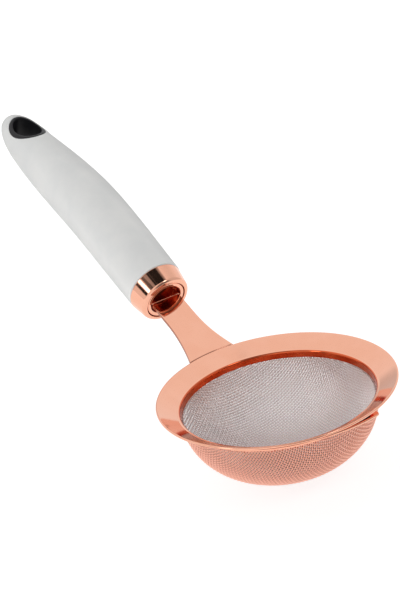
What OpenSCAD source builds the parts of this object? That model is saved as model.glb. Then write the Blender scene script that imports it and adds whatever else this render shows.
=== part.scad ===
// Handled fine-mesh cocktail and tea strainer.
// Dished ring with an inner collar, two nested woven bowls clamped by a band,
// a flat neck whose tang runs into a round soft-grip handle, a metal ferrule,
// an oval hang-hole liner and a rest lip opposite the handle.
// Origin: centre of the ring's top edge. +Z is the bowl's axis, the handle
// rises towards +Y. Millimetres.

/* [Ring] */
// Outer radius of the ring
rim_r = 45; // [44:0.5:49]
// Radius of the rounded outer edge of the ring's sheet
bead_r = 0.4; // [0.35:0.05:0.4]
// Thickness of the ring's sheet
rim_t = 0.8; // [0.8:0.1:1.0]
// Height the dished ring falls from its edge to the mouth of the bowl
dish_drop = 3.75; // [3.6:0.05:3.75]
// Radius of the bowl's mouth at the foot of the collar
mouth_r = 36.1; // [34.2:0.1:36.1]
// Depth of the collar's foot below the ring's top edge
collar_depth = 6.9; // [6.85:0.05:7.0]

/* [Bowl] */
// Radius of the outer woven bowl where it enters the clamp
bowl_r = 37.15; // [37.15:0.05:37.6]
// Depth of the bowl below the ring's top edge
bowl_depth = 34; // [26:0.2:38]
// Fullness of the bowl's curve, 2 is an ellipse
bowl_power = 2.13; // [2:0.01:2.5]
// Thickness of the outer woven shell
outer_mesh_t = 0.35; // [0.25:0.01:0.36]
// Thickness of the inner woven shell
inner_mesh_t = 0.18; // [0.12:0.01:0.19]
// Thickness of the clamping band around the bowl's hem
band_t = 0.5; // [0.5:0.05:0.7]

/* [Neck] */
// Angle the neck and handle rise above the ring's plane
rise = 28.6; // [18:0.2:35]
// Thickness of the neck plate
neck_t = 1.4; // [1.0:0.1:1.8]
// Width of the neck plate at its narrow part
neck_w = 13.4; // [10:0.2:13.6]
// Width of the neck plate where it meets the ring
neck_root_w = 20.8; // [16:0.2:24]
// Length over which the neck flares out to the ring
neck_flare = 22; // [12:1:28]
// Distance the tang reaches into the handle, from the ring's edge
tang_end = 98; // [70:1:108]
// Width of the tang inside the handle
tang_w = 9; // [6:0.5:11]

/* [Ferrule] */
// Distance of the ferrule's front edge from the ring's edge
ferrule_s = 33; // [30:0.5:36]
// Length of the ferrule's visible sleeve
ferrule_l = 8.8; // [7:0.1:10]
// Radius of the ferrule where it meets the grip
ferrule_r = 12.45; // [12:0.05:13]
// Radius of the collar pressed into the ferrule's mouth
bush_r = 8.9; // [8.6:0.1:9]
// Radius of the opening the neck passes through
bush_bore_r = 7.15; // [7:0.05:7.4]

/* [Handle] */
// Radius of the grip at the ferrule
grip_front_r = 12.5; // [12.3:0.1:13]
// Radius of the grip at its fullest
grip_belly_r = 13.4; // [13:0.1:14.5]
// Distance of the handle's rounded end from the ring's edge
grip_end = 178.8; // [177:0.2:185]
// Height of the handle's arch above its straight axis
arch_up = 1.85; // [0:0.05:2.5]
// Distance the handle's tail droops from the top of its arch
arch_down = 7.4; // [0:0.1:8]
// Radius of the hard core inside the grip
core_r = 10; // [9:0.1:10.4]

/* [Hang hole] */
// Distance of the hang hole's middle from the ring's edge
hang_s = 159.4; // [156:0.1:160]
// Length of the oval liner along the handle
hang_len = 23.8; // [18:0.2:24]
// Width of the oval liner across the handle
hang_wid = 15.6; // [12:0.2:16]
// Wall of the liner
hang_wall = 2; // [1.2:0.1:2.4]

/* [Rest lip] */
// Reach of the rest lip's free end from the bowl's axis
lip_reach = 44; // [42:0.1:44.4]
// Angle the rest lip covers around the bowl
lip_span = 36; // [28:1:44]
// Angle of the rest lip's middle from the side opposite the handle
lip_turn = 3; // [0:0.5:6]
// Thickness of the rest lip
lip_t = 1; // [0.8:0.1:1.0]

/* [Hidden] */
$fn = 128;
gap = 0.03;

rose = "#d99a80";
steel = "#b9b9bd";
soft_white = "#dcdcda";
charcoal = "#2c2c30";

// ---------- helpers ----------
// points of an arc from angle a0 to a1
function arc(c, r, a0, a1, n = 10) =
    [for (i = [0:n]) let (a = a0 + (a1 - a0) * i / n) c + r * [cos(a), sin(a)]];
function smooth(u) = let (v = min(1, max(0, u))) v * v * (3 - 2 * v);
function rev(v) = [for (i = [len(v) - 1:-1:0]) v[i]];

// frame of the neck and handle: local Y runs along the handle, Z up out of it
module on_handle() { translate([0, rim_r, 0]) rotate([rise, 0, 0]) children(); }
// a shape drawn along Z is turned to run along the handle from distance s
module along(s, h = 0) { translate([0, s, h]) rotate([-90, 0, 0]) children(); }

// ---------- ring section ----------
lip_edge = [mouth_r + 1.35, -collar_depth + 2.8];      // top of the inner lip
cone_top = [rim_r - 1.1, lip_edge[1] + dish_drop];      // where the cone meets the edge
cone_dir = (cone_top - lip_edge) / norm(cone_top - lip_edge);
cone_nrm = [cone_dir[1], -cone_dir[0]];                 // points below the sheet
// point at distance t up the dished cone and depth n below its top surface
function cone(t, n) = lip_edge + t * cone_dir + n * cone_nrm;
cone_len = norm(cone_top - lip_edge);
bead_c = [rim_r - bead_r, -bead_r];

module ring_section() {
    foot_t = 0.45;
    // collar, inner lip, dished cone and rounded edge as one bent sheet
    polygon(concat(
        [[mouth_r, -collar_depth]],
        arc([mouth_r + 1.1, -collar_depth + 1.9], 1, 178, 120, 8),
        [cone(0.4, 0), cone(cone_len - 0.1, 0)],
        arc(bead_c, bead_r, 118, -58, 22),
        [cone(cone_len - 0.1, rim_t), cone(1.2, rim_t)],
        arc([mouth_r + foot_t + 0.6, -collar_depth + 1.45], 0.6, 118, 180, 6),
        [[mouth_r + foot_t, -collar_depth]]));
}

module rim_ring() {
    color(rose) rotate_extrude($fn = 180) ring_section();
}

// ---------- bowl ----------
bowl_top = collar_depth - 1.6;                            // hem height inside the clamp
// radius of the outer bowl's outer face at depth d below the ring
function bowl_rad(d) = let (u = (d - collar_depth + 0.6) / (bowl_depth - collar_depth + 0.6))
    u <= 0 ? bowl_r : bowl_r * pow(max(0, 1 - pow(u, bowl_power)), 1 / bowl_power);
// profile of the outer bowl's outer face, from the hem to the bottom
bowl_steps = 44;
bowl_face = concat([[bowl_r, -bowl_top]],
    [for (i = [0:bowl_steps]) let (a = 90 * i / bowl_steps,
        d = collar_depth - 0.6 + (bowl_depth - collar_depth + 0.6) * sin(a))
        [i == bowl_steps ? 0 : bowl_rad(d), -d]]);
// the same profile moved inwards along its normal
function bowl_off(k) = [for (i = [0:len(bowl_face) - 1])
    i == len(bowl_face) - 1 ? [0, bowl_face[i][1] + k] :
    let (a = bowl_face[max(0, i - 1)], b = bowl_face[min(len(bowl_face) - 1, i + 1)],
         t = (b - a) / norm(b - a)) bowl_face[i] + k * [t[1], -t[0]]];

module woven_shell(k0, k1) {
    rotate_extrude($fn = 180) polygon(concat(bowl_off(k0), rev(bowl_off(k1))));
}
module mesh_outer() { color(rose) woven_shell(0, outer_mesh_t); }
module mesh_inner() { color(steel) woven_shell(outer_mesh_t + gap, outer_mesh_t + gap + inner_mesh_t); }

// ---------- clamp band ----------
band_top = collar_depth - 1.9;
band_foot = collar_depth - 1.15;
module clamp_band() {
    color(rose) rotate_extrude($fn = 180)
        polygon(concat(
            [[bowl_r + gap, -band_top], [bowl_r + gap, -band_foot + 0.25]],
            arc([bowl_r + gap + 0.25, -band_foot + 0.25], 0.25, 180, 360, 8),
            [[bowl_r + gap + band_t, -band_top]]));
}

// ---------- rest lip ----------
// outer edge of the rest lip at share u of its span: it leaves the band and grows to its free end
lip_seat = bowl_r + band_t + 2 * gap;                   // inner radius, on the clamp band
function lip_out(u) = lip_seat + 0.15 + (lip_reach - lip_seat - 0.15) * (0.62 * u + 0.38 * u * u)
    - 2.2 * pow(max(0, (u - 0.9) / 0.1), 3);
module rest_lip() {
    z_in = -collar_depth + 1.5;                         // underside at the band
    a0 = -90 + lip_turn - lip_span / 2;
    color(rose) intersection() {
        // sheet that leaves the clamp band and climbs gently outwards
        rotate_extrude($fn = 180) polygon(concat(
            [[lip_seat, z_in - 0.1], [lip_seat + 0.5, z_in], [46, z_in + 0.12 * (46 - lip_seat)]],
            [[46, z_in + lip_t + 0.12 * (46 - lip_seat)]],
            [[lip_seat + 0.9, z_in + lip_t - 0.1], [lip_seat, z_in + 0.6]]));
        translate([0, 0, -20]) linear_extrude(30) polygon(concat(
            [for (i = [0:40]) let (a = a0 + lip_span * i / 40) lip_out(i / 40) * [cos(a), sin(a)]],
            [for (i = [40:-1:0]) let (a = a0 + lip_span * i / 40) (lip_seat - 1) * [cos(a), sin(a)]]));
    }
}

// ---------- neck plate with its tang ----------
function neck_half(s) = s >= neck_flare ? neck_w / 2 :
    neck_w / 2 + (neck_root_w - neck_w) / 2 * pow(1 - s / neck_flare, 2);
neck_edge = concat(
    [for (i = [0:16]) let (s = -1.5 + (neck_flare + 1.5) * i / 16) [neck_half(max(0, s)), s]],
    [[neck_w / 2, ferrule_s + 4.2], [tang_w / 2 + 0.6, ferrule_s + 4.8], [tang_w / 2, ferrule_s + 6],
     [tang_w / 2, tang_end - 3], [tang_w / 2 - 2.5, tang_end]]);

// where the line just under the dish reaches the ring's edge
tongue_top = (rim_r + gap - lip_edge[0] - (rim_t + gap) * cone_nrm[0]) / cone_dir[0];
pin_s = 72;
pin_r = 1.5;
module neck_plate() {
    color(rose) difference() {
        union() {
            difference() {
                on_handle() translate([0, 0, -neck_t]) linear_extrude(neck_t)
                    polygon(concat(neck_edge, [for (p = rev(neck_edge)) [-p[0], p[1]]]));
                // the root is cut to the ring's edge
                translate([0, 0, -10]) cylinder(r = rim_r + gap, h = 20, $fn = 180);
            }
            // tongue that lies under the ring and is spot-welded to it
            intersection() {
                rotate_extrude($fn = 180) polygon([
                    cone(1.6, rim_t + gap), cone(tongue_top, rim_t + gap),
                    [rim_r + 0.9, -0.55], cone(cone_len + 2.2, rim_t + 1.3), cone(1.6, rim_t + 1.1)]);
                translate([-neck_root_w / 2 + 0.8, 20, -20]) cube([neck_root_w - 1.6, 40, 30]);
            }
        }
        // hole for the cross pin
        on_handle() translate([0, pin_s, -neck_t - 1]) cylinder(r = pin_r, h = neck_t + 2, $fn = 48);
    }
}

// ---------- ferrule ----------
fer_h = -0.1;                                           // ferrule axis below the plate's top face
fs = ferrule_s;
module ferrule_sleeve() {
    color(rose) on_handle() along(0, fer_h) rotate_extrude($fn = 128)
        polygon(concat(
            [[bush_r + 0.25, fs + 1.1]],
            arc([bush_r + 0.8, fs + 0.55], 0.55, 180, 300, 8),
            arc([ferrule_r - 3.15, fs + 2], 2, -52, -12, 8),
            [[ferrule_r - 0.75, fs + 4.2], [ferrule_r, fs + ferrule_l],
             [ferrule_r - 0.8, fs + ferrule_l], [ferrule_r - 1.55, fs + 4.2],
             [ferrule_r - 1.9, fs + 3.1], [bush_r + 0.25, fs + 2.4]]));
}

module ferrule_collar() {
    // ring with a shallow face, a rolled mouth and a spigot that seats on the core
    color(rose) on_handle() along(0, fer_h) rotate_extrude($fn = 128)
        polygon(concat(
            [[bush_bore_r, fs + 5.6], [bush_bore_r, fs + 1.05]],
            arc([bush_bore_r + 0.45, fs + 1.0], 0.45, 180, 270, 6),
            [[bush_r - 0.65, fs + 0.5]],
            arc([bush_r - 0.5, fs + 0.95], 0.45, 270, 350, 6),
            [[bush_r, fs + 1.4], [bush_r, fs + 2.43], [bush_r + 1.2, fs + 3.3],
             [bush_r + 1.2, fs + 5.6]]));
}

// ---------- handle ----------
gs = fs + ferrule_l + 0.05;                             // the grip's front edge
belly_s = 97;
cap_s = 154;
cap_p = 3.2;
// radius of the grip at distance s
function grip_base(s) = s < belly_s
    ? grip_belly_r - (grip_belly_r - grip_front_r) * pow((belly_s - s) / (belly_s - gs), 2)
    : grip_belly_r - 3.1 * pow((s - belly_s) / 61, 2);
function grip_rad(s) = s <= cap_s ? grip_base(s)
    : grip_base(s) * pow(max(0.0001, 1 - pow((s - cap_s) / (grip_end - cap_s), cap_p)), 1 / cap_p);
// height of the grip's centre above the straight axis at distance s
function grip_mid(s) = s < 88 ? 0.15 + (arch_up - 0.15) * smooth((s - 36) / 52)
    : arch_up - arch_down * smooth((s - 88) / 84);

module grip_disc(s, shrink = 0) {
    along(s, grip_mid(s)) cylinder(r = grip_rad(s) - shrink, h = 0.02, $fn = 56);
}
grip_cuts = [gs, 58, 78, 98, 118, 136, cap_s];
// solid outer form of the grip: a short chain of blended lengths and a round tail
module grip_form() {
    for (i = [0:len(grip_cuts) - 2]) hull() {
        grip_disc(grip_cuts[i]);
        grip_disc((grip_cuts[i] + grip_cuts[i + 1]) / 2);
        grip_disc(grip_cuts[i + 1]);
    }
    tail_form();
}
module tail_form() {
    hull() for (a = [0:7.5:90]) grip_disc(cap_s + (grip_end - 0.05 - cap_s) * sin(a));
}

// outline of the hang hole in plan, grown by g
module hang_outline(g = 0) {
    translate([0, hang_s]) scale([hang_wid / 2 + g, hang_len / 2 + g]) circle(r = 1, $fn = 96);
}

core_end = 128;
module core_form(c = 0) {
    along(0, 0.4) rotate_extrude($fn = 96) polygon([
        [0, fs + 5.65 - c], [core_r - 1.2 + c, fs + 5.65 - c], [core_r - 1.2 + c, gs + 1 - c],
        [core_r + c, gs + 1 - c], [core_r + c, 96], [7 + c, core_end + c], [0, core_end + c]]);
}

module handle_core() {
    color("#8f8f8c") on_handle() difference() {
        core_form();
        // slot for the tang
        translate([-tang_w / 2 - 0.15, fs, -neck_t - 0.05]) cube([tang_w + 0.3, tang_end + 0.6 - fs, neck_t + 0.1]);
        translate([-neck_w / 2 - 0.15, fs, -neck_t - 0.05]) cube([neck_w + 0.3, 6.3, neck_t + 0.1]);
        translate([0, pin_s, -20]) cylinder(r = pin_r, h = 40, $fn = 48);
    }
}

module tang_pin() {
    color(steel) on_handle() translate([0, pin_s, -8.2]) union() {
        cylinder(r = pin_r - 0.02, h = 16.4, $fn = 48);
    }
}

module grip_shell() {
    color(soft_white) on_handle() difference() {
        grip_form();
        core_form(gap);
        translate([0, 0, -40]) linear_extrude(80) hang_outline(gap);
    }
}

module hang_hole_liner() {
    color(charcoal) on_handle() intersection() {
        translate([0, 0, -40]) linear_extrude(80) difference() {
            hang_outline(0);
            hang_outline(-hang_wall);
        }
        union() {
            tail_form();
            hull() { grip_disc(136); grip_disc(145); grip_disc(cap_s); }
        }
    }
}

rim_ring();
clamp_band();
mesh_inner();
mesh_outer();
rest_lip();
neck_plate();
ferrule_sleeve();
ferrule_collar();
handle_core();
tang_pin();
grip_shell();
hang_hole_liner();
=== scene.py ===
# A round strainer: two layers of woven wire hang as a bowl from a polished rim ring, and a neck
# plate, a ferrule and a soft grip with a hang hole form its handle.
# The bowl's axis is Z and the top of the rim lies at z = 0. The handle leaves the rim towards +Y
# and rises as it goes. Shapes are worked out in millimetres and scaled to metres when built.
import math

import bpy
import numpy as np
from mathutils import Matrix


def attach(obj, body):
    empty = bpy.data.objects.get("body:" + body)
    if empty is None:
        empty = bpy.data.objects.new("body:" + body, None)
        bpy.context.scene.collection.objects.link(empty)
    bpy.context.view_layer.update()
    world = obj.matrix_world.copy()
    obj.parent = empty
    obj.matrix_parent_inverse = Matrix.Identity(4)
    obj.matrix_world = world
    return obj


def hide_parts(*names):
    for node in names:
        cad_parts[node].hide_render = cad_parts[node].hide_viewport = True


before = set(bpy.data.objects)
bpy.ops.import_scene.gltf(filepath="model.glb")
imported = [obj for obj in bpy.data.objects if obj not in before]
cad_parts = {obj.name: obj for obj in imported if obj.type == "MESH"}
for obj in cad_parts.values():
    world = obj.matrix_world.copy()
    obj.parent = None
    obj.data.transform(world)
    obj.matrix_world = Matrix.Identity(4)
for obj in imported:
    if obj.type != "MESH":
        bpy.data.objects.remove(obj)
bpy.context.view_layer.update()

# ------------------------------------------------------------------ driving sizes, in millimetres
MM = 0.001                              # metres in a millimetre
FIT_GAP = 0.03                          # clearance between neighbouring metal pieces

RIM_RADIUS, RIM_THICK = 45.0, 0.8
BEAD_RADIUS = 0.4                       # rounded outer edge of the rim
MOUTH_RADIUS, COLLAR_DEPTH = 36.1, 6.9  # upright wall inside the ring
DISH_RISE = 3.75                        # height gained by the sloping part of the ring

BOWL_RADIUS, BOWL_DEPTH = 37.15, 34.0
BOWL_POWER = 2.13                       # superellipse exponent of the bowl's section
BAND_RADIUS = BOWL_RADIUS + 0.53        # outside of the clamp band

# Along the handle, distances start at the rim's outer edge
HANDLE_RISE = math.radians(28.6)
RISE_COS, RISE_SIN = math.cos(HANDLE_RISE), math.sin(HANDLE_RISE)
FERRULE_START, FERRULE_LENGTH = 33.0, 8.8
FERRULE_HEIGHT = -0.1                   # of the ferrule's axis above the plate's upper face
FERRULE_BORE = 8.9                      # where the sleeve and the collar in its mouth meet
GRIP_START = FERRULE_START + FERRULE_LENGTH + 0.05
BELLY = 97.0                            # station of the grip's largest radius
CAP_START, GRIP_END = 154.0, 178.8      # the grip closes between these two
CAP_LENGTH = GRIP_END - CAP_START
CAP_POWER = 3.2
HOLE_CENTRE, HOLE_HALF_WIDTH, HOLE_HALF_LENGTH = 159.4, 7.8, 11.9

# The sloping dish of the ring, as (radius, z)
DISH_FOOT = np.array([MOUTH_RADIUS + 1.35, -COLLAR_DEPTH + 2.8])
DISH_TOP = np.array([RIM_RADIUS - 1.1, DISH_FOOT[1] + DISH_RISE])
DISH_LENGTH = float(np.linalg.norm(DISH_TOP - DISH_FOOT))
DISH_SLOPE = (DISH_TOP - DISH_FOOT) / DISH_LENGTH
DISH_NORMAL = np.array([DISH_SLOPE[1], -DISH_SLOPE[0]])   # points out and down


# ------------------------------------------------------------------ places
def on_dish(up_slope, below):
    """(radius, z) a distance up the dish from its foot and below its upper face."""
    return DISH_FOOT + up_slope * DISH_SLOPE + below * DISH_NORMAL


def on_handle(x, station, height):
    """Points at a station along the handle and a height square to it."""
    x, station, height = np.broadcast_arrays(*(np.asarray(v, float) for v in (x, station, height)))
    return np.stack([x,
                     RIM_RADIUS + station * RISE_COS - height * RISE_SIN,
                     station * RISE_SIN + height * RISE_COS], -1)


def at_bearing(radius, bearing, z):
    """Points round the bowl's axis, with the bearing turned from +Y towards +X."""
    x, y, z = np.broadcast_arrays(radius * np.sin(bearing), radius * np.cos(bearing), z)
    return np.stack([x, y, z], -1)


def smooth(value):
    value = np.clip(value, 0, 1)
    return value * value * (3 - 2 * value)


# ------------------------------------------------------------------ sections
def arc(centre, radius, start, end, steps, first=0, last=0):
    """Arc between two angles in degrees, as corners; first and last round its two ends."""
    corners = [(centre[0] + radius * math.cos(angle), centre[1] + radius * math.sin(angle), 0)
               for angle in np.radians(np.linspace(start, end, steps + 1))]
    corners[0] = (*corners[0][:2], first)
    corners[-1] = (*corners[-1][:2], last)
    return corners


def fillet(corners, degrees_per_step=14.0):
    """Closed polyline of (u, v, rounding) corners, with the rounded ones turned into arcs."""
    corners = np.array(corners, float)
    points, roundings = corners[:, :2], corners[:, 2]
    out = []
    for i, (point, rounding) in enumerate(zip(points, roundings)):
        if rounding <= 0:
            out.append(point)
            continue
        before, after = points[i - 1] - point, points[(i + 1) % len(points)] - point
        length_before, length_after = np.linalg.norm(before), np.linalg.norm(after)
        before, after = before / length_before, after / length_after
        angle = math.acos(max(-1, min(1, float(before @ after))))
        turn = math.pi - angle
        if turn < 0.05:                 # nearly straight
            out.append(point)
            continue
        cut = min(rounding / math.tan(angle / 2), 0.48 * length_before, 0.48 * length_after)
        radius = cut * math.tan(angle / 2)
        middle = (before + after) / np.linalg.norm(before + after)
        centre = point + middle * (radius / math.sin(angle / 2))
        spoke_0, spoke_1 = point + before * cut - centre, point + after * cut - centre
        steps = max(2, int(math.degrees(turn) / degrees_per_step) + 1)
        for step in range(steps + 1):
            share = step / steps
            out.append(centre + spoke_0 * math.sin((1 - share) * turn) / math.sin(turn)
                       + spoke_1 * math.sin(share * turn) / math.sin(turn))
    return np.array(out)


def dense(points, longest):
    """Splits long edges, with a short piece at each end so that flat faces shade flat."""
    out = []
    for start, end in zip(points, np.roll(points, -1, 0)):
        length = float(np.linalg.norm(end - start))
        if length < 1e-6:
            continue
        shares = [0.0]
        if length > longest:
            short = min(0.08 / length, 0.2)
            pieces = max(1, int(math.ceil(length * (1 - 2 * short) / longest)))
            shares += [short]
            shares += [short + (1 - 2 * short) * j / pieces for j in range(1, pieces)]
            shares += [1 - short]
        out += [start + (end - start) * share for share in shares]
    return np.array(out)


# ------------------------------------------------------------------ meshes
def grid(rows, columns, close_rows, close_columns):
    """Quads over rows * columns points, joined up round either direction if closed."""
    row = np.arange(rows if close_rows else rows - 1)
    column = np.arange(columns if close_columns else columns - 1)
    row, column = np.meshgrid(row, column, indexing="ij")
    next_row, next_column = (row + 1) % rows, (column + 1) % columns
    return np.stack([row * columns + column, next_row * columns + column,
                     next_row * columns + next_column, row * columns + next_column],
                    -1).reshape(-1, 4)


def fan(ring, pole):
    """Triangles from a closed ring of vertex numbers to one pole."""
    return np.stack([ring, np.roll(ring, -1), np.full(len(ring), pole)], -1)


def between(start, end, steps):
    """The loops strictly between two loops of points."""
    return [start * (1 - share) + end * share for share in np.linspace(0, 1, steps + 1)[1:-1]]


def revolve(section, count, on_ferrule=False):
    """Loops of a (radius, z) section turned about Z, or about the ferrule's axis."""
    angle = np.linspace(0, 2 * np.pi, count, endpoint=False)
    x, y = np.outer(np.cos(angle), section[:, 0]), np.outer(np.sin(angle), section[:, 0])
    axial = np.broadcast_to(section[:, 1], x.shape)
    return on_handle(x, axial, FERRULE_HEIGHT + y) if on_ferrule else np.stack([x, y, axial], -1)


def squeeze_height(loops, row, share):
    """Scales one loop's heights about their mean."""
    middle = loops[row, :, 2].mean()
    loops[row, :, 2] = middle + (loops[row, :, 2] - middle) * share


def volume(points, quads, tris):
    total = 0.0
    for faces in (quads[:, [0, 1, 2]], quads[:, [0, 2, 3]], tris):
        a, b, c = (points[faces[:, corner]] for corner in range(3))
        total += float(np.einsum("ij,ij->i", a, np.cross(b, c)).sum()) / 6
    return total


class Shell:
    """Closed shells gathered into one mesh."""

    def __init__(self):
        self.points, self.quads, self.tris, self.count = [], [], [], 0

    def add(self, points, quads, tris=()):
        points = np.asarray(points, float).reshape(-1, 3)
        quads = np.asarray(quads, np.int64).reshape(-1, 4)
        tris = np.asarray(tris, np.int64).reshape(-1, 3)
        if volume(points - points.mean(0), quads, tris) < 0:
            quads, tris = quads[:, ::-1], tris[:, ::-1]
        self.points.append(points)
        self.quads.append(quads + self.count)
        self.tris.append(tris + self.count)
        self.count += len(points)
        return self

    def add_ring(self, loops):
        """Loops joined up both ways round."""
        loops = np.asarray(loops)
        return self.add(loops, grid(*loops.shape[:2], True, True))

    def add_tube(self, loops, ends=None):
        """A tube of loops, closed by fans round the end loops' middles or two given points."""
        rows, columns = loops.shape[:2]
        if ends is None:
            ends = loops[[0, -1]].mean(1)
        points = np.concatenate([loops.reshape(-1, 3), ends])
        ring, pole = np.arange(columns), rows * columns
        tris = np.concatenate([fan(ring, pole)[:, ::-1],
                               fan((rows - 1) * columns + ring, pole + 1)])
        return self.add(points, grid(rows, columns, False, True), tris)

    def build(self, name, material, slot, stands_for=None, sharp=38.0):
        """Makes the object; edges over sharp degrees stay crisp, and 0 leaves all smooth."""
        points = np.concatenate(self.points)
        quads, tris = np.concatenate(self.quads), np.concatenate(self.tris)
        used = np.zeros(len(points), bool)
        used[quads.ravel()] = True
        used[tris.ravel()] = True
        number = np.cumsum(used) - 1
        points, quads, tris = points[used], number[quads], number[tris]

        mesh = bpy.data.meshes.new(name)
        mesh.vertices.add(len(points))
        mesh.vertices.foreach_set("co", (points * MM).astype(np.float32).ravel())
        loops = np.concatenate([quads.ravel(), tris.ravel()]).astype(np.int32)
        mesh.loops.add(len(loops))
        mesh.loops.foreach_set("vertex_index", loops)
        mesh.polygons.add(len(quads) + len(tris))
        starts = np.concatenate([np.arange(len(quads)) * 4,
                                 len(quads) * 4 + np.arange(len(tris)) * 3]).astype(np.int32)
        mesh.polygons.foreach_set("loop_start", starts)
        mesh.update(calc_edges=True)
        mesh.validate()
        mesh.polygons.foreach_set("use_smooth", np.ones(len(mesh.polygons), bool))
        if sharp:
            mesh.set_sharp_from_angle(angle=math.radians(sharp))

        piece = bpy.data.objects.new(name, mesh)
        bpy.context.scene.collection.objects.link(piece)
        mesh.materials.append(material)
        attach(piece, "root")
        if stands_for:
            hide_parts(stands_for)
        return piece


# ------------------------------------------------------------------ shader nodes
def is_socket(value):
    return isinstance(value, bpy.types.NodeSocket)


def feed(target, inputs):
    """Gives each named input of a node its value, or a link if the value is a socket."""
    for key, value in inputs.items():
        if is_socket(value):
            target.id_data.links.new(value, target.inputs[key])
        else:
            target.inputs[key].default_value = value


def node(tree, kind, inputs, **settings):
    made = tree.nodes.new("ShaderNode" + kind)
    for name, value in settings.items():
        setattr(made, name, value)
    feed(made, inputs)
    return made


def scalar_math(tree, operation, *values):
    return node(tree, "Math", dict(enumerate(values)), operation=operation).outputs[0]


def vector_math(tree, operation, *values):
    made = node(tree, "VectorMath", dict(enumerate(values)), operation=operation)
    return made.outputs["Value" if operation in ("DOT_PRODUCT", "LENGTH") else "Vector"]


def scaled(tree, colour, factor):
    made = node(tree, "VectorMath", {0: colour, "Scale": factor}, operation="SCALE")
    return made.outputs["Vector"]


def remap(tree, value, source, target, **settings):
    """Carries the source range (from, to) over to the target range."""
    inputs = {"From Min": source[0], "From Max": source[1],
              "To Min": target[0], "To Max": target[1], "Value": value}
    return node(tree, "MapRange", inputs, **settings).outputs["Result"]


def mix_colour(tree, factor, first, second):
    """Mixes two colours, each an RGB triple or a socket."""
    first, second = (c if is_socket(c) else (*c, 1) for c in (first, second))
    inputs = {0: factor, 6: first, 7: second}
    return node(tree, "Mix", inputs, data_type="RGBA").outputs[2]


def object_place(tree):
    return node(tree, "TexCoord", {}).outputs["Object"]


def noise(tree, scale, detail=3.0, roughness=0.5):
    inputs = {"Scale": scale, "Detail": detail, "Roughness": roughness,
              "Vector": object_place(tree)}
    return node(tree, "TexNoise", inputs).outputs["Fac"]


def surface_normal(tree):
    return node(tree, "NewGeometry", {}).outputs["Normal"]


def distance_along(tree, origin, axis):
    """Distance of the shaded point from origin along axis, in metres."""
    offset = vector_math(tree, "SUBTRACT", object_place(tree), origin)
    return vector_math(tree, "DOT_PRODUCT", offset, axis)


def handle_station(tree):
    return distance_along(tree, origin=(0, RIM_RADIUS * MM, 0), axis=(0, RISE_COS, RISE_SIN))


def axis_distance(tree):
    """Distance of the shaded point from the bowl's axis, in metres."""
    flat = vector_math(tree, "MULTIPLY", object_place(tree), (1, 1, 0))
    return vector_math(tree, "LENGTH", flat)


def facing_sideways(tree):
    """How far the surface faces along X, either way."""
    across = vector_math(tree, "DOT_PRODUCT", surface_normal(tree), (1, 0, 0))
    return scalar_math(tree, "ABSOLUTE", across)


def facing_outwards(tree):
    """How far the surface faces away from a point on the bowl's axis, just below the rim."""
    centre = (0, 0, -0.004)
    outwards = vector_math(tree, "SUBTRACT", object_place(tree), centre)
    outwards = vector_math(tree, "NORMALIZE", outwards)
    return vector_math(tree, "DOT_PRODUCT", surface_normal(tree), outwards)


# ------------------------------------------------------------------ materials
def new_material(name):
    material = bpy.data.materials.new(name)
    material.use_nodes = True
    return material, material.node_tree, material.node_tree.nodes["Principled BSDF"]


def rose_plating(name, mask=None, deep=None):
    """Polished rose-gold plating, faintly cloudy in tint and gloss, with painted shade and
    reflection in a deep tint under a mask.
    """
    material, tree, shader = new_material(name)
    cloud = remap(tree, noise(tree, scale=140.0), source=(0.35, 0.65), target=(0, 1))
    tint = mix_colour(tree, cloud, first=(0.875, 0.455, 0.320), second=(0.86, 0.435, 0.300))
    haze = noise(tree, scale=420.0, detail=4.0, roughness=0.6)
    # painted shade and reflection: the deep tint is mixed in where the mask is set
    if mask:
        tint = mix_colour(tree, mask(tree), first=tint, second=deep)
    feed(shader, {
        "Metallic": 1.0,
        "Base Color": tint,
        "Roughness": remap(tree, haze, source=(0.3, 0.7), target=(0.055, 0.10))})
    return material


def ring_painted_shade_mask(tree):
    """Painted reflection in a deep tint on the collar's wall in full, and painted shade on the
    underside in part.
    """
    # painted reflection: the collar's wall takes the deep tint of copper seen in copper
    wall = remap(tree, axis_distance(tree), source=(0.03690, 0.03712), target=(1, 0))
    normal_z = node(tree, "SeparateXYZ", {0: surface_normal(tree)}).outputs["Z"]
    # painted shade: faces turned downwards take part of the deep tint
    underside = remap(tree, normal_z, source=(-0.7, -0.1), target=(0.45, 0.0))
    return scalar_math(tree, "MAXIMUM", wall, underside)


def ferrule_mask(tree, start, end):
    """Fades in between two distances past the ferrule's start, in millimetres."""
    source = ((FERRULE_START + start) * MM, (FERRULE_START + end) * MM)
    return remap(tree, handle_station(tree), source=source, target=(0, 1))


def neck_painted_shade_mask(tree):
    """Painted shade inside the ferrule's mouth and along the side edges, and a dark line at the
    seam against the ring.
    """
    # painted shade on the plate inside the ferrule's mouth
    inside = ferrule_mask(tree, start=1.3, end=2.2)
    # painted shade on the side edges, which face along X
    edges = remap(tree, facing_sideways(tree), source=(0.5, 0.8), target=(0, 0.9))
    seam_range = ((RIM_RADIUS + 0.20) * MM, (RIM_RADIUS + 0.34) * MM)
    seam = remap(tree, axis_distance(tree), source=seam_range, target=(0.8, 0.0))
    return scalar_math(tree, "MAXIMUM", scalar_math(tree, "MAXIMUM", inside, edges), seam)


def mouth_painted_shade_mask(tree):
    """Painted shade that deepens into the ferrule's mouth."""
    return ferrule_mask(tree, start=1.3, end=3.2)


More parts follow.
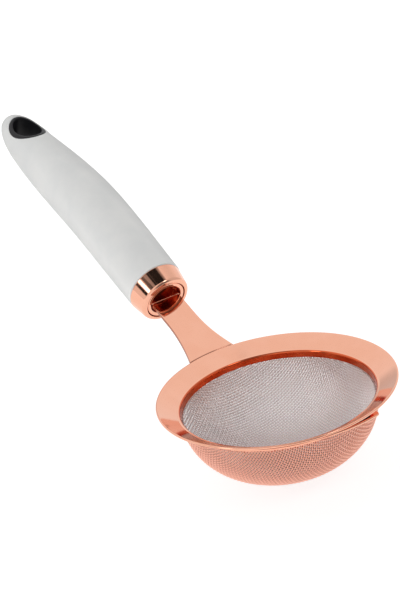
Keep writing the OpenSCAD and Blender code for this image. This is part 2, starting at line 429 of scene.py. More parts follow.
def rose_wire_painted_shade_material():
    """Plated wire: bright outer crowns, painted shade in a deep tint down the sides, paler on the
    side facing into the bowl.
    """
    material, tree, shader = new_material("rose_mesh")
    # painted shade: the deep stops at 0.50 and 0.66 darken the wires' sides
    stops = [                           # position, colour; 0 faces into the bowl and 1 out of it
        (0.36, (0.96, 0.87, 0.86)),
        (0.50, (0.60, 0.26, 0.18)),
        (0.66, (0.66, 0.29, 0.20)),
        (0.86, (1.0, 0.55, 0.43))]
    turned = remap(tree, facing_outwards(tree), source=(-1, 1), target=(0, 1))
    ramp = node(tree, "ValToRGB", {"Fac": turned})
    elements = ramp.color_ramp.elements
    while len(elements) < len(stops):
        elements.new(0.5)
    for element, (position, colour) in zip(elements, stops):
        element.position = position
        element.color = (*colour, 1)
    haze = noise(tree, scale=300.0, detail=2.0)
    feed(shader, {
        "Metallic": 1.0,
        "Base Color": ramp.outputs["Color"],
        "Roughness": remap(tree, haze, source=(0.3, 0.7), target=(0.32, 0.42))})
    return material


def steel_wire_painted_shade_material():
    """Plain steel wire, with a painted dark rose reflection and shade on the sides that face the
    outer layer.
    """
    material, tree, shader = new_material("steel_mesh")
    # painted reflection and shade: the sides facing the outer layer take a dark rose tint
    outward = remap(tree, facing_outwards(tree), source=(0.0, 0.4), target=(0, 1))
    colour = mix_colour(tree, outward, first=(0.99, 0.975, 0.98), second=(0.42, 0.19, 0.14))
    # painted shade: a little darker towards the bottom of the bowl
    height = distance_along(tree, origin=(0, 0, 0), axis=(0, 0, 1))
    colour = scaled(tree, colour, remap(tree, height, source=(-0.030, -0.013), target=(0.90, 1.0)))
    # painted reflection: seen in the polished ring, the weave is coloured as rosy as the bowl
    # looks from outside
    ray = node(tree, "LightPath", {})
    distant = remap(tree, ray.outputs["Ray Length"], source=(0.040, 0.050), target=(0, 1))
    painted_ring_reflection = scalar_math(tree, "MULTIPLY", ray.outputs["Is Glossy Ray"], distant)
    haze = noise(tree, scale=300.0, detail=2.0)
    feed(shader, {
        "Metallic": 1.0,
        "Base Color": mix_colour(tree, painted_ring_reflection, first=colour, second=(1.0, 0.45, 0.27)),
        "Roughness": remap(tree, haze, source=(0.3, 0.7), target=(0.30, 0.42))})
    return material


def grip_material():
    """Soft-touch grip: very faint mottling, a fine matt grain, and painted shade where it turns
    away.
    """
    material, tree, shader = new_material("soft_grip")
    mottle = noise(tree, scale=75.0, detail=4.0, roughness=0.55)
    skin = mix_colour(tree, remap(tree, mottle, source=(0.35, 0.65), target=(0, 1)),
                      first=(0.785, 0.785, 0.772), second=(0.742, 0.747, 0.740))
    # painted shade: the colour darkens where the surface turns away from the camera
    away = node(tree, "LayerWeight", {"Blend": 0.5}).outputs["Facing"]
    shade = remap(tree, away, source=(0.45, 1.0), target=(1.0, 0.74))
    grain = node(tree, "Bump", {"Strength": 0.08, "Distance": 0.0001,
                                "Height": noise(tree, scale=2600.0, detail=2.0)})
    feed(shader, {
        "Base Color": scaled(tree, skin, shade),
        "Roughness": remap(tree, mottle, source=(0.3, 0.7), target=(0.55, 0.68)),
        "Specular IOR Level": 0.2,
        "Normal": grain.outputs["Normal"]})
    return material


def liner_material():
    """Charcoal plastic."""
    material, tree, shader = new_material("black_liner")
    grain = noise(tree, scale=900.0)
    feed(shader, {
        "Base Color": mix_colour(tree, remap(tree, grain, source=(0.35, 0.65), target=(0, 1)),
                                 first=(0.006, 0.006, 0.008), second=(0.011, 0.011, 0.013)),
        "Roughness": remap(tree, grain, source=(0.3, 0.7), target=(0.36, 0.48)),
        "Specular IOR Level": 0.22})
    return material


def hidden_material(name, scale, dark, light, values):
    """Noise between two colours, for a piece that is out of sight."""
    material, tree, shader = new_material(name)
    colour = mix_colour(tree, noise(tree, scale=scale), first=dark, second=light)
    feed(shader, {"Base Color": colour, **values})
    return material


# ------------------------------------------------------------------ ring, band and lip
def build_rim_ring(material):
    """Collar wall, sloping dish and beaded edge, as one section."""
    wall = 0.45
    section = [(MOUTH_RADIUS, -COLLAR_DEPTH, 0.16)]
    section += arc((DISH_FOOT[0], -COLLAR_DEPTH + 1.9), 0.95, 167, 120, 14)
    section += [(*on_dish(0.4, 0), 0.3), (*on_dish(DISH_LENGTH - 0.1, 0), 0.12)]
    section += arc((RIM_RADIUS - BEAD_RADIUS, -BEAD_RADIUS), BEAD_RADIUS, 118, -58, 24)
    section += [(*on_dish(DISH_LENGTH - 0.1, RIM_THICK), 0), (*on_dish(1.2, RIM_THICK), 0)]
    section += arc((MOUTH_RADIUS + wall + 0.6, -COLLAR_DEPTH + 1.45), 0.6, 118, 180, 8)
    section += [(MOUTH_RADIUS + wall, -COLLAR_DEPTH, 0.16)]
    ring = Shell().add_ring(revolve(dense(fillet(section), 0.7), 360))
    ring.build("rim_ring_polished", material, "rose_metal", "rim_ring")


def build_clamp_band(material):
    top, bottom = -COLLAR_DEPTH + 1.9, -COLLAR_DEPTH + 1.15
    inside = BOWL_RADIUS + FIT_GAP
    section = [(inside, top, 0.05), (inside, bottom, 0.2),
               (BAND_RADIUS, bottom, 0.24), (BAND_RADIUS, top, 0.05)]
    band = Shell().add_ring(revolve(dense(fillet(section), 0.5), 300))
    band.build("clamp_band_rolled", material, "rose_metal", "clamp_band")


def build_rest_lip(material):
    """Tapering lip under the ring on the -Y side, widening from -X towards +X."""
    reach, full_thick = 44.0, 1.0
    span, turn = math.radians(36), math.radians(3)
    seat, seat_z = BAND_RADIUS + FIT_GAP, -COLLAR_DEPTH + 1.5
    slope, flat_steps = 0.12, 10

    def section(share):
        """(radius, z) round the lip at a share of its span."""
        width = (0.15 + (reach - seat - 0.15) * (0.62 * share + 0.38 * share * share)
                 - 2.2 * max(0.0, (share - 0.9) / 0.1) ** 3)
        thick = full_thick * (0.45 + 0.55 * float(smooth(width / 1.6)))
        edge = min(thick * 0.5, width * 0.45)
        flat = width - edge
        edge_z = seat_z + slope * flat
        under = flat * np.arange(flat_steps) / flat_steps
        lower, upper = np.radians(np.linspace(-83, 0, 6)), np.radians(np.linspace(0, 97, 6)[1:])
        back = flat * np.arange(flat_steps, -1, -1) / (flat_steps + 0.5)
        dip = 0.4 * np.exp(-(back / 0.5) ** 2) * min(1.0, width)
        out = [under, flat + edge * np.cos(lower), flat + edge * np.cos(upper), back]
        z = [seat_z + slope * under,
             edge_z + edge + edge * np.sin(lower),
             edge_z + thick - edge + edge * np.sin(upper),
             seat_z + slope * back + thick - dip]
        return seat + np.concatenate(out), np.concatenate(z)

    loops = []
    for share in np.concatenate([np.linspace(0, 0.9, 91)[:-1], np.linspace(0.9, 1.0, 51)]):
        angle = -math.pi / 2 + turn + (share - 0.5) * span
        radius, z = section(share)
        loops.append(np.stack([radius * math.cos(angle), radius * math.sin(angle), z], -1))
    loops = np.array(loops)
    # both ends are softened
    for row, share in ((0, 0.4), (1, 0.8)):
        middle = loops[row].mean(0)
        loops[row] = middle + (loops[row] - middle) * share
    for row, share in ((-1, 0.72), (-2, 0.90), (-3, 0.97)):
        squeeze_height(loops, row, share)
    lip = Shell().add_tube(loops)
    lip.build("rest_lip_pressed", material, "rose_metal", "rest_lip")


# ------------------------------------------------------------------ neck
TONGUE_THICK = 1.1
NECK_HALF = 6.7                         # half width between the root and the ferrule


def neck_half_width(station):
    root = 3.7 * np.clip(1 - station / 22, 0, 1) ** 2
    shoulder = 2.2 * smooth((station - 37.2) / 1.8)
    tip = 2.4 * np.clip((station - 94) / 4, 0, 1) ** 1.5
    return float(NECK_HALF + root - shoulder - tip)


def neck_plate():
    """Loops of the flat plate, from the ring's edge to the tip of its tang in the grip."""
    edge, thick, columns = 0.30, 1.4, 26
    # section points are (share of half width, inset from the side edge, height)
    across = np.linspace(-1, 1, columns + 1)[1:-1]
    quarter = np.radians(np.linspace(0, 90, 6))
    sine, cosine = np.sin(quarter), np.cos(quarter)
    right = [(1.0, edge - edge * s, -edge + edge * c) for s, c in zip(sine, cosine)]
    right += [(1.0, edge - edge * c, -thick + edge - edge * s) for s, c in zip(sine, cosine)]
    left = [(-share, inset, height) for share, inset, height in right][::-1]
    section = [(x, 0.0, 0.0) for x in across] + right
    section += [(x, 0.0, -thick) for x in -across] + left
    share, inset, height = np.array(section).T

    stations = np.concatenate([[0, 0.12, 0.3, 0.6, 1.0], np.linspace(1.5, 37, 72),
                               np.linspace(37.2, 39.2, 8), np.linspace(41, 93, 14),
                               np.linspace(94, 98, 8)])
    start_radius, root_round = RIM_RADIUS + FIT_GAP, 0.16
    loops = []
    for station in stations:
        half = neck_half_width(station)
        x = np.where(np.abs(share) >= 1, np.sign(share) * (half - inset), share * (half - edge))
        # the root follows the ring's round, level edge
        setback = (np.sqrt(start_radius ** 2 - x ** 2) - RIM_RADIUS) / RISE_COS
        loop = on_handle(x, station + setback * max(0.0, 1 - station / 40.0), height)
        loop[:, 2] -= setback * RISE_SIN * (1 - float(smooth(station / 16.0)))
        # its upper edge is softened next to the bead
        short = root_round - min(station, root_round)
        drop = root_round - math.sqrt(max(0, root_round ** 2 - short ** 2))
        loop[:, 2] -= drop * np.clip(1 + height / 0.5, 0, 1)
        loops.append(loop)
    return np.array(loops)


def neck_tongue():
    """Loops of the tongue that runs in under the ring's dish."""
    top = RIM_THICK + FIT_GAP
    top_end = (RIM_RADIUS + 0.02 - DISH_FOOT[0] - top * DISH_NORMAL[0]) / DISH_SLOPE[0]
    section = [                         # radius, z, rounding
        (*on_dish(1.6, top), 0.2),
        (*on_dish(top_end, top), 0.1),
        (RIM_RADIUS + 0.35, -0.62, 0.2),
        (RIM_RADIUS + 0.95, -0.75, 0.4),
        (*on_dish(DISH_LENGTH + 2.0, RIM_THICK + 1.35), 1.5),
        (*on_dish(1.6, RIM_THICK + TONGUE_THICK), 0.3)]
    radius, z = dense(fillet(section), 0.7).T
    plan_radius, half_width, corner = 44.0, 9.7, 3.0
    half_angle = half_width / plan_radius
    bearing = np.linspace(-half_angle, half_angle, 60)[:, None]
    # the inner corners are rounded in plan by pulling the inner end out
    past = np.maximum(0.0, np.abs(bearing) * plan_radius - (half_width - corner)) / corner
    pull = 2.6 * (1 - np.sqrt(np.maximum(0.0, 1 - np.minimum(1.0, past) ** 2)))
    pull = pull * np.clip((43.2 - radius) / 4.0, 0, 1)
    loops = at_bearing(radius + pull * DISH_SLOPE[0], bearing, z + pull * DISH_SLOPE[1])
    for row, share in ((0, 0.8), (-1, 0.8), (1, 0.9), (-2, 0.9)):
        squeeze_height(loops, row, share)
    return loops


def spot_weld(bearing):
    """Loops and the two end points of a low disc under the tongue."""
    size, plan_radius, crown, sunk = 1.5, 41.0, 0.16, 0.2
    centre = on_dish(3.9, RIM_THICK + TONGUE_THICK)
    share = np.linspace(0, 1, 9)[1:, None]
    angle = np.linspace(0, 2 * np.pi, 28, endpoint=False)
    height = (crown * (1 - share * share) - np.where(share > 0.95, 0.10, 0)
              + 0.05 * np.exp(-((share - 0.85) / 0.1) ** 2))
    up_slope, across = size * share * np.cos(angle), size * share * np.sin(angle)
    radius, z = (centre[i] + DISH_SLOPE[i] * up_slope + DISH_NORMAL[i] * height for i in (0, 1))
    loops = at_bearing(radius, bearing + across / plan_radius, z)
    ends = [at_bearing(end[0], bearing, end[1])
            for end in (centre + DISH_NORMAL * crown, centre - DISH_NORMAL * sunk)]
    return loops, np.array(ends)


def filler_line():
    """Thin bead of filler across the plate where it enters the ferrule."""
    half = 6.3
    x = np.linspace(-half, half, 41)[:, None]
    radius = 0.17 * np.minimum(1.0, 0.35 + 8 * (1 - np.abs(x) / half))
    angle = 2 * np.pi * np.arange(10) / 10
    return on_handle(x, FERRULE_START + 1.15 + radius * np.cos(angle),
                     0.02 + radius * np.sin(angle))


def filler_drop(side):
    """Drop of filler at one edge of the plate; side is 1 for +X and -1 for -X."""
    polar = np.pi * np.arange(1, 12)[:, None] / 12
    around = 2 * np.pi * np.arange(20) / 20
    return on_handle(side * 6.4 + 0.46 * np.sin(polar) * np.cos(around),
                     FERRULE_START + 1.1 + 0.38 * np.sin(polar) * np.sin(around),
                     0.05 + 0.34 * np.cos(polar))


def build_neck(material):
    neck = Shell().add_tube(neck_plate()).add_tube(neck_tongue())
    for bearing in (-0.095, 0.095):
        neck.add_tube(*spot_weld(bearing))
    neck.add_tube(filler_line())
    for side in (-1, 1):
        neck.add_tube(filler_drop(side))
    neck.build("neck_plate_polished", material, "rose_metal", "neck_plate")


# ------------------------------------------------------------------ ferrule
FERRULE_SEGMENTS = 288


def build_ferrule_sleeve(material):
    """Flared outer sleeve; its section is (radius, station, rounding)."""
    start, bore, wide = FERRULE_START, FERRULE_BORE, 12.45
    section = [(bore + 0.25, start + 2.4, 0.1), (bore + 0.25, start + 1.1, 0.15)]
    section += arc((bore + 0.8, start + 0.55), 0.55, 180, 300, 10, last=0.25)
    section += arc((wide - 3.15, start + 2.0), 2.0, -52, -12, 10, first=0.25)
    section += [(wide - 0.75, start + 4.2, 3.0),
                (wide, start + FERRULE_LENGTH, 0.18),
                (wide - 0.8, start + FERRULE_LENGTH, 0.1),
                (wide - 1.55, start + 4.2, 0.5),
                (wide - 1.9, start + 3.1, 0.3)]
    sleeve = Shell().add_ring(revolve(dense(fillet(section), 0.5), FERRULE_SEGMENTS, True))
    sleeve.build("ferrule_sleeve_polished", material, "rose_metal", "ferrule_sleeve")


def build_ferrule_collar(material):
    """Collar in the sleeve's mouth with a disc across it; (radius, station, rounding)."""
    start, bore, mouth = FERRULE_START, FERRULE_BORE, 7.15
    disc_front, disc_back = start + 5.05, start + 5.55
    section = [(0.0, disc_back, 0), (0.0, disc_front, 0),
               (mouth - 0.05, disc_front, 0.3), (mouth, start + 1.05, 0)]
    section += arc((mouth + 0.45, start + 1.0), 0.45, 180, 270, 8)
    section += [(bore - 0.65, start + 0.5, 0.2)]
    section += arc((bore - 0.5, start + 0.95), 0.45, 270, 350, 8)
    section += [(bore, start + 1.4, 0), (bore, start + 2.43, 0.1),
                (bore + 1.2, start + 3.3, 0.1), (bore + 1.2, disc_back, 0.2)]
    profile = dense(fillet(section), 0.5)
    # the section touches the axis, where one pole on each side of the disc closes it
    profile = profile[profile[:, 0] > 1e-6]
    columns = len(profile)
    points = revolve(profile, FERRULE_SEGMENTS, True).reshape(-1, 3)
    poles = on_handle(0, [disc_front, disc_back], FERRULE_HEIGHT)
    front = np.arange(FERRULE_SEGMENTS) * columns
    tris = np.concatenate([fan(front, len(points)),
                           fan(front + columns - 1, len(points) + 1)[:, ::-1]])
    collar = Shell().add(np.concatenate([points, poles]),
                         grid(FERRULE_SEGMENTS, columns, True, False), tris)
    collar.build("ferrule_collar_polished", material, "rose_metal", "ferrule_collar")


# ------------------------------------------------------------------ grip
GRIP_COLUMNS = 128                      # points round the grip; column 0 is the top
PATCH_START, PATCH_END, PATCH_ROWS = 143.0, 174.6, 43   # stations left open round the hole
PATCH_HALF = 25                         # columns left open each side of the middle
# rounded end next to the ferrule: (distance past the start, loss of radius)
GRIP_EDGE = np.array([(0.02, 0.42), (0.05, 0.26), (0.14, 0.12), (0.28, 0.03)])
# distances from the hole of the rings next to it
NEAR_RINGS = (0.0, 0.03, 0.08, 0.16, 0.27, 0.42, 0.62, 0.85, 1.1, 1.4, 1.8, 2.3)


def grip_radius(station):
    body = np.where(station < BELLY,
                    13.4 - 0.9 * ((BELLY - station) / (BELLY - GRIP_START)) ** 2,
                    13.4 - 3.1 * ((station - BELLY) / 61.0) ** 2)
    share = np.clip((station - CAP_START) / CAP_LENGTH, 0, 1)
    return body * np.maximum(0.0, 1 - share ** CAP_POWER) ** (1 / CAP_POWER)


def grip_middle(station):
    """Height of the grip's centre line, which rises and then droops to the tail."""
    return np.where(station < 88, 0.15 + 1.70 * smooth((station - 36) / 52),
                    1.85 - 7.4 * smooth((station - 88) / 84))


def hole_outline():
    """The hang hole in plan: points (x, station) and outward normals."""
    angle = np.linspace(0, 2 * np.pi, 1600, endpoint=False)
    cosine, sine = np.cos(angle), np.sin(angle)
    points = np.stack([HOLE_HALF_WIDTH * cosine, HOLE_CENTRE + HOLE_HALF_LENGTH * sine], -1)
    normals = np.stack([cosine / HOLE_HALF_WIDTH, sine / HOLE_HALF_LENGTH], -1)
    return points, normals / np.linalg.norm(normals, axis=1, keepdims=True)


def spaced_outline(count):
    """The same outline with evenly spaced points."""
    points, normals = (np.concatenate([part, part[:1]]) for part in hole_outline())
    steps = np.linalg.norm(np.diff(points, axis=0), axis=1)
    travelled = np.concatenate([[0], np.cumsum(steps)])
    places = np.linspace(0, travelled[-1], count, endpoint=False)
    points, normals = (np.stack([np.interp(places, travelled, part[:, i]) for i in (0, 1)], -1)
                       for part in (points, normals))
    return points, normals / np.linalg.norm(normals, axis=1, keepdims=True)


def swell(distance):
    """Height of the low swelling round the hole, falling off to a rounded edge at the hole."""
    edge = 0.34
    drop = np.where(distance < edge,
                    edge - np.sqrt(np.maximum(0, edge ** 2 - (edge - distance) ** 2)), 0.0)
    return 0.20 * np.exp(-((distance - 0.95) / 0.75) ** 2) - drop


def hole_rings(side, border_angle, border_station):
    """Rings of points from the hole out towards the patch's border; side is 1 on top."""
    hole, _ = hole_outline()
    hole_angle = np.arcsin(np.clip(hole[:, 0] / grip_radius(hole[:, 1]), -1, 1))

    def bearing(angle, station):
        """Direction from the hole's centre on the unrolled surface."""
        return np.unwrap(np.arctan2(station - HOLE_CENTRE, angle * 11.0))

    # each border point is paired with the point of the outline on the same bearing
    hole_bearing = bearing(hole_angle, hole[:, 1])
    border_bearing = bearing(border_angle, border_station)
    two_turns = np.concatenate([hole_bearing - 2 * np.pi, hole_bearing])
    start_angle = np.interp(border_bearing, two_turns, np.tile(hole_angle, 2))
    start_station = np.interp(border_bearing, two_turns, np.tile(hole[:, 1], 2))
    angle_step, station_step = border_angle - start_angle, border_station - start_station
    room = np.hypot(angle_step * 10.5, station_step)
    # the rings crowd together where there is little room
    tight = np.minimum(1.0, 0.85 * room / NEAR_RINGS[-1])
    last = NEAR_RINGS[-1] * tight / room
    # share of the way to the border, and whether the swelling also acts sideways
    shares = [(distance * tight / room, distance > 0.3) for distance in NEAR_RINGS]
    shares += [(last + (1 - last) * far, True) for far in np.linspace(0, 1, 12)[1:-1]]
    rings = []
    for share, sideways in shares:
        angle = start_angle + angle_step * share
        station = start_station + station_step * share
        radius, out = grip_radius(station), swell(share * room)
        x = (radius + out * sideways) * np.sin(angle)
        height = grip_middle(station) + side * (radius * np.cos(angle) + out)
        rings.append(on_handle(x, station, height))
    return rings


def grip_rows():
    """Stations and radii of the grip's rows, and the number of the patch's first row."""
    front = np.linspace(GRIP_START + 0.45, PATCH_START, 82)[:-1]
    patch = np.linspace(PATCH_START, PATCH_END, PATCH_ROWS + 1)
    # the tail's rows are spaced by angle round the cap
    turn = math.asin(((PATCH_END - CAP_START) / CAP_LENGTH) ** (CAP_POWER / 2))
    turns = np.linspace(turn, math.pi / 2, 26)[1:-1]
    tail = CAP_START + CAP_LENGTH * np.sin(turns) ** (2 / CAP_POWER)
    stations = np.concatenate([front, patch, tail])
    radii = np.concatenate([grip_radius(GRIP_START) - GRIP_EDGE[:, 1], grip_radius(stations)])
    stations = np.concatenate([GRIP_START + GRIP_EDGE[:, 0], stations])
    return stations, radii, len(GRIP_EDGE) + len(front)


def turn_faces_out(piece):
    import bmesh
    faces = bmesh.new()
    faces.from_mesh(piece.data)
    bmesh.ops.recalc_face_normals(faces, faces=faces.faces)
    faces.to_mesh(piece.data)
    faces.free()
    piece.data.update()


def build_grip(material):
    """Grip skin: a regular grid with a patch left open above and below for the hang hole."""
    columns, half = GRIP_COLUMNS, PATCH_HALF
    stations, radii, row_0 = grip_rows()
    row_1 = row_0 + PATCH_ROWS
    rows = len(stations)
    angle = np.arange(columns) * 2 * np.pi / columns
    body = on_handle(radii[:, None] * np.sin(angle), stations[:, None],
                     grip_middle(stations)[:, None] + radii[:, None] * np.cos(angle))
    points, count = [body.reshape(-1, 3)], rows * columns

    def add_points(ring):
        """Adds a ring of points and returns their numbers."""
        nonlocal count
        points.append(ring)
        count += len(ring)
        return np.arange(count - len(ring), count)

    quads = grid(rows, columns, False, True)
    row, column = quads[:, 0] // columns, quads[:, 0] % columns
    from_top = (column + columns // 2) % columns - columns // 2
    from_bottom = column - columns // 2
    opened = (((from_top >= -half) & (from_top < half))
              | ((from_bottom >= -half) & (from_bottom < half)))
    quads = [quads[~((row >= row_0) & (row < row_1) & opened)]]

    # the patch's border as (row, column from the middle), once round
    border = [(row_0, j) for j in range(-half, half)]
    border += [(i, half) for i in range(row_0, row_1)]
    border += [(row_1, j) for j in range(half, -half, -1)]
    border += [(i, -half) for i in range(row_1, row_0, -1)]
    border_row, border_column = np.array(border).T
    border_ids = {1: border_row * columns + border_column % columns,
                  -1: border_row * columns + (columns // 2 - border_column) % columns}
    hole, hole_ids = {}, {}
    for side in (1, -1):
        rings = hole_rings(side, border_column * 2 * np.pi / columns, stations[border_row])
        ids = [add_points(ring) for ring in rings] + [border_ids[side]]
        hole[side], hole_ids[side] = rings[0], ids[0]
        for inner, outer in zip(ids[:-1], ids[1:]):
            faces = np.stack([inner, outer, np.roll(outer, -1), np.roll(inner, -1)], -1)
            quads.append(faces if side > 0 else faces[:, ::-1])

    # the hole's wall, from top to bottom
    wall = [hole_ids[1]] + [add_points(ring) for ring in between(hole[1], hole[-1], 8)]
    wall.append(hole_ids[-1])
    for upper, lower in zip(wall[:-1], wall[1:]):
        quads.append(np.stack([lower, upper, np.roll(upper, -1), np.roll(lower, -1)], -1))

    # front cap and tail pole
    poles = add_points(on_handle(0, [GRIP_START + 0.02, GRIP_END],
                                 [grip_middle(GRIP_START), grip_middle(GRIP_END)]))
    ring = np.arange(columns)
    tris = np.concatenate([fan(ring, poles[0]),
                           fan((rows - 1) * columns + ring, poles[1])[:, ::-1]])
    grip = Shell().add(np.concatenate(points), np.concatenate(quads), tris)
    # the grid winds the other way to the other faces, so they are made to agree
    turn_faces_out(grip.build("grip_soft_touch", material, "soft_grip", "grip_shell", sharp=50))


def build_hole_liner(material):
    """Liner through the hang hole, with a rounded lip above and below."""
    section = [                         # offset from the outline, height over the grip's skin
        (-0.04, -1.6), (-0.04, -0.42), (-0.07, -0.22), (-0.16, -0.08), (-0.32, 0.0),
        (-0.6, 0.03), (-1.0, 0.0), (-1.35, -0.05), (-1.62, -0.14), (-1.82, -0.30),
        (-1.95, -0.55), (-2.0, -0.9), (-2.0, -1.6)]
    outline, normals = spaced_outline(240)

    def ring(offset, rise, side):
        x, station = (outline + offset * normals).T
        skin = np.sqrt(np.maximum(0, grip_radius(station) ** 2 - x ** 2))
        return on_handle(x, station, grip_middle(station) + side * (skin + rise))

    above = [ring(offset, rise, 1) for offset, rise in section]
    below = [ring(offset, rise, -1) for offset, rise in section[::-1]]
    loops = above + between(above[-1], below[0], 11) + below + between(below[-1], above[0], 7)
    liner = Shell().add_ring(loops)
    liner.build("hang_hole_liner_moulded", material, "black_liner", "hang_hole_liner")


# ------------------------------------------------------------------ woven bowls
PITCH, WIRE_RADIUS = 1.05, 0.21
CLOTH_TURN = math.radians(-1.0)         # of the weave about Z
CRIMP_SHIFT = 0.3                       # crimp moved from wires running down to wires across
HEM = 3.0                               # crimp dies out where the clamp flattens the weave
WIRE_SIDES = 6


def bowl_profile(offset):
    """The bowl's outer face moved inwards: (length from the bottom, r, z, normal r, normal z)."""
    curve_start = COLLAR_DEPTH - 0.6
    share = np.sin(np.linspace(0, math.pi / 2, 900))
    depth = curve_start + (BOWL_DEPTH - curve_start) * share
    radius = BOWL_RADIUS * np.maximum(0, 1 - share ** BOWL_POWER) ** (1 / BOWL_POWER)
    radius[-1] = 0
    # a straight piece at the top, then everything from the bottom up
    radius = np.concatenate([[BOWL_RADIUS], radius])[::-1]
    z = -np.concatenate([[COLLAR_DEPTH - 2.2], depth])[::-1]
    tangent = np.stack([np.gradient(radius), np.gradient(z)], -1)
    tangent /= np.linalg.norm(tangent, axis=1, keepdims=True)
    normal = np.stack([-tangent[:, 1], tangent[:, 0]], -1)   # points into the bowl
    normal[0] = (0, 1)
    radius, z = radius + offset * normal[:, 0], z + offset * normal[:, 1]
    radius[0] = 0
    radius = np.maximum(radius, 0)
    length = np.concatenate([[0], np.cumsum(np.hypot(np.diff(radius), np.diff(z)))])
    return length, radius, z, normal[:, 0], normal[:, 1]


def unit(vectors):
    return vectors / np.linalg.norm(vectors, axis=1, keepdims=True)


def wire_path(profile, cloth_radius, number, way, shift):
    """Centre line of one wire and the bowl's normals along it."""
    fixed = (number + shift) * PITCH
    reach = math.sqrt(cloth_radius ** 2 - fixed ** 2)
    # every second sample is a crossing with a wire of the other way
    half_pitch = PITCH / 2
    steps = np.arange(math.ceil(-reach / half_pitch), math.floor(reach / half_pitch) + 1)
    travel = steps * half_pitch
    crossing = (steps + int(2 * shift)) % 2 == 0
    over = (np.round(steps / 2 - shift).astype(int) + number + way) % 2 == 0
    lift = np.where(crossing, np.where(over, 1.0, -1.0), 0.0)
    if travel[0] > -reach + 0.08:
        travel, lift = np.concatenate([[-reach], travel]), np.concatenate([[0], lift])
    if travel[-1] < reach - 0.08:
        travel, lift = np.concatenate([travel, [reach]]), np.concatenate([lift, [0]])

    # place on the flat cloth, then on the bowl
    sine, cosine = math.sin(CLOTH_TURN), math.cos(CLOTH_TURN)
    still = np.full(len(travel), fixed)
    x, y = (still, travel) if way == 0 else (travel, still)
    x, y = x * cosine - y * sine, x * sine + y * cosine
    length, angle = np.hypot(x, y), np.arctan2(y, x)
    radius, z, normal_r, normal_z = (np.interp(length, profile[0], part) for part in profile[1:])
    normal = unit(np.stack([normal_r * np.cos(angle), normal_r * np.sin(angle), normal_z], -1))
    surface = np.stack([radius * np.cos(angle), radius * np.sin(angle), z], -1)

    # drawing the cloth pulls the wires that run down the bowl straight, and the ones that run
    # round it wrap further over them
    run_x, run_y = (-sine, cosine) if way == 0 else (cosine, sine)
    down = (run_x * np.cos(angle) + run_y * np.sin(angle)) ** 2
    pull = 1 + CRIMP_SHIFT * (1 - 2 * down) * np.clip(length / 20.0, 0, 1)
    fade = 0.30 + 0.70 * np.clip((cloth_radius - length) / HEM, 0, 1)
    crimp = WIRE_RADIUS * 0.93
    return surface + (lift * crimp * fade * pull)[:, None] * normal, normal


def wire_tube(path, normal):
    """Loops round a wire's centre line."""
    angle = np.arange(WIRE_SIDES) * 2 * np.pi / WIRE_SIDES + math.pi / WIRE_SIDES
    tangent = unit(np.gradient(path, axis=0))
    normal = unit(normal - (normal * tangent).sum(1, keepdims=True) * tangent)
    across = np.cross(tangent, normal)
    spokes = (np.cos(angle)[None, :, None] * normal[:, None, :]
              + np.sin(angle)[None, :, None] * across[:, None, :])
    return path[:, None, :] + WIRE_RADIUS * spokes


def build_weave(name, material, slot, offset, end_z, shift):
    """One layer of plain weave drawn over the bowl: a piece of wires each way."""
    profile = bowl_profile(offset)
    length, _, z = profile[:3]
    order = np.argsort(z)
    cloth_radius = float(np.interp(end_z, z[order], length[order]))
    most = int(cloth_radius / PITCH) + 2
    for way, suffix in enumerate(("_warp", "_weft")):
        wires = Shell()
        for number in range(-most, most + 1):
            if abs((number + shift) * PITCH) < cloth_radius - 0.25:
                path, normal = wire_path(profile, cloth_radius, number, way, shift)
                wires.add_tube(wire_tube(path, normal), path[[0, -1]])
        wires.build(name + suffix, material, slot, name if way == 0 else None, sharp=0)


# ------------------------------------------------------------------ stage
def build_floor():
    half = 6.0                          # metres
    mesh = bpy.data.meshes.new("floor")
    corners = [(-half, -half, 0), (half, -half, 0), (half, half, 0), (-half, half, 0)]
    mesh.from_pydata(corners, [], [(0, 1, 2, 3)])
    floor = bpy.data.objects.new("floor", mesh)
    floor.location = (0, 0, -(BOWL_DEPTH + 0.1) * MM)
    bpy.context.scene.collection.objects.link(floor)
    material, _, shader = new_material("floor_pale")
    feed(shader, {
        "Base Color": (0.36, 0.36, 0.36, 1),
        "Roughness": 0.9,
        "Specular IOR Level": 0.1,
        "Emission Color": (1, 1, 1, 1),
        "Emission Strength": 0.80})
    mesh.materials.append(material)


# Lamps (+) and dark gaps (-) on an even white world, as azimuth from +Y towards +X, elevation,
# angles from the centre where the fade starts and ends (all in degrees), and change of strength
WORLD_PATCHES = [
    (180, 72, 5, 18, -0.92),            # dark gaps high on the -Y side
    (-138, 70, 8, 14, -0.92),
    (138, 72, 3, 15, -0.78),
    (-112, 59, 6, 11, -0.64),           # dark edge above the -X softbox
    (-100, 46, 5, 9, -0.86),
    (-90.5, 32, 4, 7.5, 4.5),           # softbox on the -X side
    (-84, 19, 5, 9, -0.92),             # gap under it
    (178, 18, 14, 40, -0.78),           # darker room on the -Y side
    (158, 48, 3, 9, 4.0),               # lamp above it
    (118, 22, 16, 46, -0.27),           # dimmer wall right of the camera
    (-62, 4, 14, 42, -0.10),            # dimmer wall left of the camera
    (20, 4, 5, 18, -0.30),              # dimmer spot beyond the handle
]


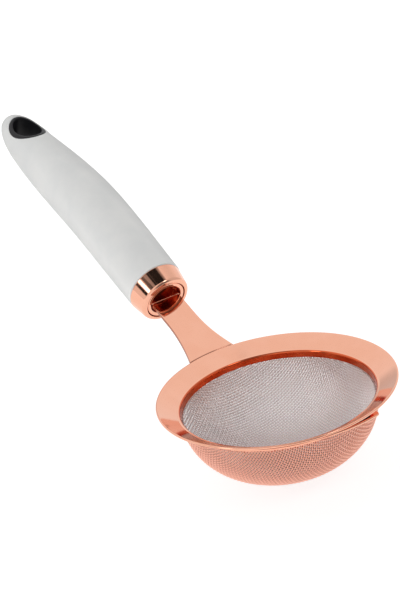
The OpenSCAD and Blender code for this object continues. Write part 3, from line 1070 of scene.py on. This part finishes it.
def build_world():
    world = bpy.data.worlds.new("studio")
    bpy.context.scene.world = world
    world.use_nodes = True
    tree = world.node_tree
    place = node(tree, "TexCoord", {}).outputs["Generated"]
    strength = 1.0
    for azimuth, elevation, inner, outer, gain in WORLD_PATCHES:
        azimuth, elevation = math.radians(azimuth), math.radians(elevation)
        centre = (math.sin(azimuth) * math.cos(elevation),
                  math.cos(azimuth) * math.cos(elevation), math.sin(elevation))
        fade = remap(tree, vector_math(tree, "DOT_PRODUCT", place, centre),
                     source=(math.cos(math.radians(outer)), math.cos(math.radians(inner))),
                     target=(0.0, gain), interpolation_type="SMOOTHSTEP")
        strength = scalar_math(tree, "ADD", strength, fade)
    darkest, backdrop = 0.02, 1.0
    strength = scalar_math(tree, "MAXIMUM", strength, darkest)
    # the camera itself sees a plain backdrop; only other rays meet the lamps and gaps
    seen = node(tree, "LightPath", {}).outputs["Is Camera Ray"]
    mixed = node(tree, "Mix", {0: seen, 2: strength, 3: backdrop}, data_type="FLOAT")
    feed(tree.nodes["Background"], {"Strength": mixed.outputs[0], "Color": (1, 1, 1, 1)})


def build_camera():
    data = bpy.data.cameras.new("camera")
    camera = bpy.data.objects.new("camera", data)
    bpy.context.scene.collection.objects.link(camera)
    azimuth, elevation, roll = -0.487956, 0.374602, -0.198630   # radians, azimuth from -Y
    position = (-0.188410, -0.310501, 0.181029)
    back = np.array([math.sin(azimuth) * math.cos(elevation),
                     -math.cos(azimuth) * math.cos(elevation), math.sin(elevation)])
    level = np.array([math.cos(azimuth), math.sin(azimuth), 0])
    upright = np.cross(back, level)
    right = math.cos(roll) * level + math.sin(roll) * upright
    up = -math.sin(roll) * level + math.cos(roll) * upright
    rows = np.column_stack([right, up, back, position]).tolist()
    camera.matrix_world = Matrix(rows + [[0, 0, 0, 1]])
    data.sensor_width = 36
    data.lens = 65.68113
    data.clip_start, data.clip_end = 0.01, 30
    bpy.context.scene.camera = camera
    bpy.context.scene.view_settings.view_transform = "Standard"


# ------------------------------------------------------------------ assembly
rose = rose_plating("rose_metal")
# ring with painted reflection on the collar wall and painted shade on its underside
rose_ring_painted_shade = rose_plating("rose_metal_ring_painted_shade", ring_painted_shade_mask, deep=(0.66, 0.125, 0.045))
# neck with painted shade inside the ferrule's mouth and on its side edges
rose_neck_painted_shade = rose_plating("rose_metal_neck_painted_shade", neck_painted_shade_mask, deep=(0.34, 0.13, 0.085))
# ferrule collar with painted shade deepening into its mouth
rose_mouth_painted_shade = rose_plating("rose_metal_mouth_painted_shade", mouth_painted_shade_mask, deep=(0.44, 0.12, 0.06))
rose_wire_painted_shade = rose_wire_painted_shade_material()
steel_wire_painted_shade = steel_wire_painted_shade_material()
soft_grip = grip_material()
black_liner = liner_material()
core_plastic = hidden_material("core_plastic", scale=120.0, dark=(0.26, 0.26, 0.25),
                               light=(0.30, 0.30, 0.29), values={"Roughness": 0.5})
pin_steel = hidden_material("pin_steel", scale=300.0, dark=(0.50, 0.50, 0.52),
                            light=(0.58, 0.58, 0.60),
                            values={"Metallic": 1.0, "Roughness": 0.35})

build_rim_ring(rose_ring_painted_shade)
build_clamp_band(rose)
build_rest_lip(rose)
build_neck(rose_neck_painted_shade)
build_ferrule_sleeve(rose)
build_ferrule_collar(rose_mouth_painted_shade)
build_grip(soft_grip)
build_hole_liner(black_liner)
build_weave("mesh_outer", rose_wire_painted_shade, "rose_mesh",
            offset=2 * WIRE_RADIUS + 0.01, end_z=-5.4, shift=0.5)
build_weave("mesh_inner", steel_wire_painted_shade, "steel_mesh",
            offset=6 * WIRE_RADIUS + 0.06, end_z=-7.1, shift=0.0)

# hidden pieces keep their CAD form
for piece_name, material, slot in (("handle_core", core_plastic, "core_plastic"),
                                   ("tang_pin", pin_steel, "pin_steel")):
    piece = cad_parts[piece_name]
    piece.data.materials.clear()
    piece.data.materials.append(material)

build_floor()
build_world()
build_camera()
